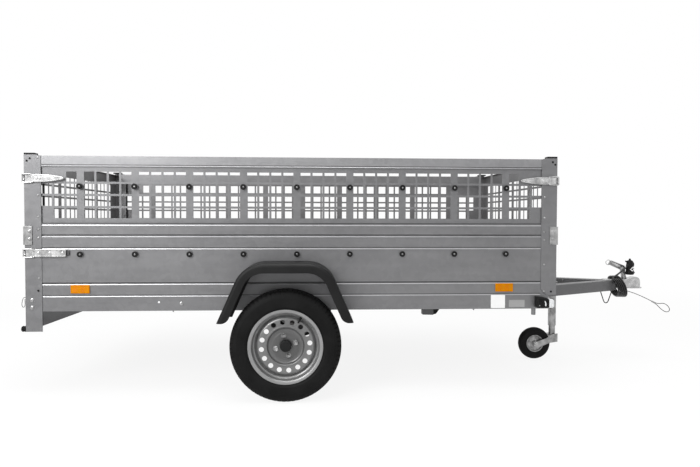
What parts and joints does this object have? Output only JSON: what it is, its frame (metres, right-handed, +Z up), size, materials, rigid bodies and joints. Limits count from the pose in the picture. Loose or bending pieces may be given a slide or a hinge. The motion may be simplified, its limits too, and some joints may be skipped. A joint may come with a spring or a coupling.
{
  "type": "utility trailer",
  "caption": "Box utility trailer with mesh side extensions, hinged gates, V-shaped drawbar, ball coupling and jockey wheel.",
  "frame": {"origin": "on the ground, at the middle of the trailer's length and width", "axes": "+X forward to the coupling, +Y to the left, +Z up"},
  "size_m": [3.7363, 1.69, 1.215],
  "materials": {
    "galvanised_steel": "galvanised, matt",
    "zinc_fittings": "bright zinc plated",
    "floor_plywood": "phenolic film faced plywood",
    "black_plastic": "moulded, satin",
    "black_rubber": "matt",
    "cable_jacket": "satin",
    "tyre_rubber": "matt",
    "silver_paint": "silver wheel enamel",
    "jockey_rim_metal": "zinc plated",
    "red_lens": "moulded lens",
    "amber_lens": "moulded prism lens",
    "white_lens": "clear moulded lens",
    "white_plate": "blank plate"
  },
  "bodies": {
    "chassis": {"side_rails": "galvanised_steel", "crossmembers": "galvanised_steel", "side_walls": "galvanised_steel", "mesh_sides": "galvanised_steel", "rear_posts": "galvanised_steel", "front_posts": "galvanised_steel", "front_wall": "galvanised_steel", "rear_light_board": "galvanised_steel", "torsion_axle": "galvanised_steel", "axle_brackets": "galvanised_steel", "drawbar_arm_right": "galvanised_steel", "drawbar_arm_left": "galvanised_steel", "drawbar_crossbar": "galvanised_steel", "tailgate_hinges": "zinc_fittings", "rear_hinge_plates": "zinc_fittings", "front_hinge_plates": "zinc_fittings", "jockey_clamp": "zinc_fittings", "coupling_head": "zinc_fittings", "coupling_handle": "zinc_fittings", "latches": "zinc_fittings", "safety_wire": "zinc_fittings", "safety_wire_loop": "zinc_fittings", "safety_ferrule": "zinc_fittings", "wire_hoop": "zinc_fittings", "floor_panel": "floor_plywood", "post_caps": "black_plastic", "mudguard_right": "black_plastic", "mudguard_left": "black_plastic", "tarp_hooks": "black_plastic", "marker_lamps": "black_plastic", "cable_clip": "black_plastic", "cable_plug": "black_plastic", "supply_cable_feed": "cable_jacket", "cable_coil": "cable_jacket", "supply_cable_tail": "cable_jacket", "rear_buffers": "black_rubber", "rear_lamps": "red_lens", "side_reflectors": "amber_lens", "marker_lenses": "white_lens", "number_plate_blank": "white_plate"},
    "tailgate": {"tailgate": "galvanised_steel", "tailgate_ears": "zinc_fittings"},
    "rear_mesh_gate": {"rear_mesh_gate": "galvanised_steel", "rear_gate_ears": "zinc_fittings"},
    "front_mesh_gate": {"front_mesh_gate": "galvanised_steel", "front_gate_ears": "zinc_fittings"},
    "wheel_right": {"tyre_right": "tyre_rubber", "rim_right": "silver_paint", "hub_right": "zinc_fittings"},
    "wheel_left": {"tyre_left": "tyre_rubber", "rim_left": "silver_paint", "hub_left": "zinc_fittings"},
    "jockey_stand": {"jockey_tube": "zinc_fittings", "jockey_crank": "zinc_fittings"},
    "jockey_leg": {"jockey_leg": "zinc_fittings"},
    "jockey_fork": {"jockey_fork": "zinc_fittings"},
    "jockey_wheel": {"jockey_tyre": "black_rubber", "jockey_rim": "jockey_rim_metal"}
  },
  "joints": [
    {"name": "wheel_right_spin", "type": "hinge", "parent": "chassis", "child": "wheel_right", "pos_m": [-0.4495, -0.755, 0.272], "axis": [0, 1, 0], "continuous": true},
    {"name": "wheel_left_spin", "type": "hinge", "parent": "chassis", "child": "wheel_left", "pos_m": [-0.4495, 0.755, 0.272], "axis": [0, 1, 0], "continuous": true},
    {"name": "tailgate_hinge", "type": "hinge", "parent": "chassis", "child": "tailgate", "pos_m": [-1.7665, 0, 0.465], "axis": [0, -1, 0], "range_deg": [0, 180]},
    {"name": "rear_mesh_gate_hinge", "type": "hinge", "parent": "chassis", "child": "rear_mesh_gate", "pos_m": [-1.7755, 0, 0.767], "axis": [0, -1, 0], "range_deg": [0, 180]},
    {"name": "front_mesh_gate_hinge", "type": "hinge", "parent": "chassis", "child": "front_mesh_gate", "pos_m": [0.9755, 0, 0.767], "axis": [0, 1, 0], "range_deg": [0, 90]},
    {"name": "jockey_clamp_slide", "type": "slide", "parent": "chassis", "child": "jockey_stand", "axis": [0, 0, 1], "range_m": [0, 0.19]},
    {"name": "jockey_leg_slide", "type": "slide", "parent": "jockey_stand", "child": "jockey_leg", "axis": [0, 0, 1], "range_m": [-0.12, 0.04]},
    {"name": "jockey_swivel", "type": "hinge", "parent": "jockey_leg", "child": "jockey_fork", "pos_m": [1.2035, 0, 0.158], "axis": [0, 0, 1], "continuous": true},
    {"name": "jockey_wheel_spin", "type": "hinge", "parent": "jockey_fork", "child": "jockey_wheel", "pos_m": [1.0875, 0, 0.1], "axis": [0, 1, 0], "continuous": true}
  ]
}
